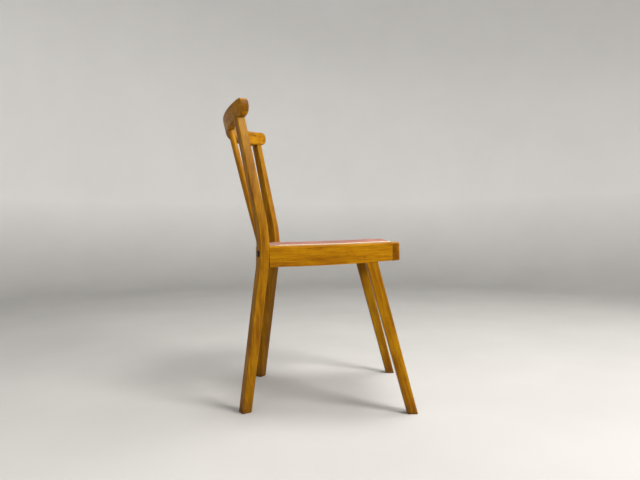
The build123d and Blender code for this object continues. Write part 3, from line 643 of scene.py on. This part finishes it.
# Piping: a covered cord lying where the pad meets the rail.
cord_line = ring_at(0.0210, CORD_CORNER, CORD_POINTS, 0.0014)
piping = tube("seat_piping_cord", cord_line, 0.00165, 14, cream, 0.035)
flange_outer = ring_at(0.0216, FLANGE_CORNER, CORD_POINTS, 0.0002)
flange_inner = ring_at(0.0231, PAD_CORNER, CORD_POINTS, -0.0030)
flange_under = ring_at(0.0225, PAD_CORNER, CORD_POINTS, -0.0036)
flange_low = ring_at(0.0209, FLANGE_CORNER, CORD_POINTS, -0.0004)
flange_rings = [flange_low, flange_outer, flange_inner, flange_under, flange_low]
flange = rings_mesh("seat_piping_flange", flange_rings, cream, False)


# Hem: the cover's edge pulled round the panel and under it, with a wandering cut edge.
def hem_ring(inset, lift, wander):
    """One ring of the hem. wander is how far its line strays in and out."""
    ring = []
    for i, p in enumerate(outline(inset, PAD_CORNER, HEM_POINTS)):
        inward = (Vector((0, 0)) - p).normalized()
        ripple = 0.6 * math.sin(i * 0.71) + 0.4 * math.sin(i * 1.93 + 1.0)
        q = p + inward * wander * ripple
        ring.append(Vector((q.x, q.y, rail_top(q.y) + lift + 0.0002 * ripple * (1 if wander else 0.3))))
    return ring


hem = rings_mesh(
    "seat_cover_hem",
    [
        hem_ring(0.0229, -0.0035, 0.0),
        hem_ring(0.0226, -0.0060, 0.0),
        hem_ring(0.0229, -0.0089, 0.0),
        hem_ring(0.0245, -0.0100, 0.0),
        hem_ring(0.0320, -0.0101, 0.0006),
        hem_ring(0.0405, -0.0100, 0.0013),
        hem_ring(0.0405, -0.0091, 0.0013),
        hem_ring(0.0320, -0.00912, 0.0),
        hem_ring(0.0239, -0.00905, 0.0),
        hem_ring(0.0237, -0.0060, 0.0),
        hem_ring(0.0237, -0.0035, 0.0),
        hem_ring(0.0229, -0.0035, 0.0),
    ],
    red,
    False,
)
for piece in (pad, piping, flange, hem):
    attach(piece, "root")
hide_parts("seat_foam")
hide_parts("seat_cover")
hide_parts("seat_piping")

# ---------------------------------------------------------------- floor, lights, camera
# The floor is a round sheet that curves up into a wall. The profile has radii and heights.
FLOOR_RADIUS = 3.4
CURVE_RADIUS = 1.1
CURVE_STEPS = 12
WALL_RADIUS = FLOOR_RADIUS + CURVE_RADIUS
profile = [(0.0, 0.0), (1.5, 0.0), (3.0, 0.0), (FLOOR_RADIUS, 0.0)]
for k in range(1, CURVE_STEPS + 1):
    angle = math.pi / 2 * k / CURVE_STEPS
    out = FLOOR_RADIUS + CURVE_RADIUS * math.sin(angle)
    profile.append((out, CURVE_RADIUS - CURVE_RADIUS * math.cos(angle)))
profile += [(WALL_RADIUS, 3.0), (WALL_RADIUS, 5.0)]
turns = 96
verts = [Vector((0, 0, 0))]
for radius, height in profile[1:]:
    for k in range(turns):
        a = 2 * math.pi * k / turns
        verts.append(Vector((radius * math.cos(a), radius * math.sin(a), height)))
faces = [(0, 1 + k, 1 + (k + 1) % turns) for k in range(turns)]
for r in range(len(profile) - 2):
    for k in range(turns):
        m = (k + 1) % turns
        near, far = 1 + r * turns, 1 + (r + 1) * turns
        faces.append((near + k, far + k, far + m, near + m))
floor = mesh_object("floor", verts, faces, painted_stage())


def area_light(name, place, aim, size, power, colour):
    """A round soft light that faces a point."""
    lamp = bpy.data.lights.new(name, "AREA")
    lamp.shape = "DISK"
    lamp.size = size
    lamp.energy = power
    lamp.color = colour
    holder = bpy.data.objects.new(name, lamp)
    scene.collection.objects.link(holder)
    holder.location = place
    holder.rotation_euler = (Vector(aim) - Vector(place)).to_track_quat("-Z", "Y").to_euler()


area_light("key", (-1.5, -2.0, 2.2), (0, 0, 0.45), 1.2, 106, (1.0, 0.985, 0.96))
area_light("front", (0.3, -2.6, 1.3), (0, 0, 0.5), 1.4, 8, (1.0, 0.99, 0.97))
area_light("top", (0.2, -0.5, 3.2), (0, 0, 0.4), 1.2, 62, (1.0, 0.99, 0.98))
area_light("fill", (-2.2, 0.9, 1.6), (0, 0, 0.55), 1.2, 9, (0.99, 0.99, 1.0))
area_light("wall_wash", (0, 0, 3.4), (0, 0, 6.0), 2.5, 250, (1.0, 0.99, 0.98))
world = bpy.data.worlds.new("studio")
world.use_nodes = True
world.node_tree.nodes["Background"].inputs["Color"].default_value = (0.93, 0.95, 1.0, 1.0)
world.node_tree.nodes["Background"].inputs["Strength"].default_value = 0.24
scene.world = world
scene.view_settings.view_transform = "Standard"
scene.view_settings.look = "None"

# The camera stands at the chair's right side at about seat height.
CAMERA_PLACE = (-1.450, -0.005, 0.455)
CAMERA_YAW, CAMERA_PITCH, CAMERA_ROLL = 0.476, 0.02, 0.66
lens = bpy.data.cameras.new("camera")
lens.sensor_width = 36.0
lens.lens = 27.06
lens.clip_start, lens.clip_end = 0.05, 60.0
camera = bpy.data.objects.new("camera", lens)
scene.collection.objects.link(camera)
yaw, pitch, roll = (math.radians(angle) for angle in (CAMERA_YAW, CAMERA_PITCH, CAMERA_ROLL))
forward = Vector((math.cos(pitch) * math.cos(yaw), -math.cos(pitch) * math.sin(yaw), -math.sin(pitch)))
level = forward.cross(Vector((0, 0, 1))).normalized()
upright = level.cross(forward)
up = upright * math.cos(roll) + level * math.sin(roll)
right = level * math.cos(roll) - upright * math.sin(roll)
turned = Matrix((right, up, -forward)).transposed().to_4x4()
camera.matrix_world = Matrix.Translation(CAMERA_PLACE) @ turned
scene.camera = camera
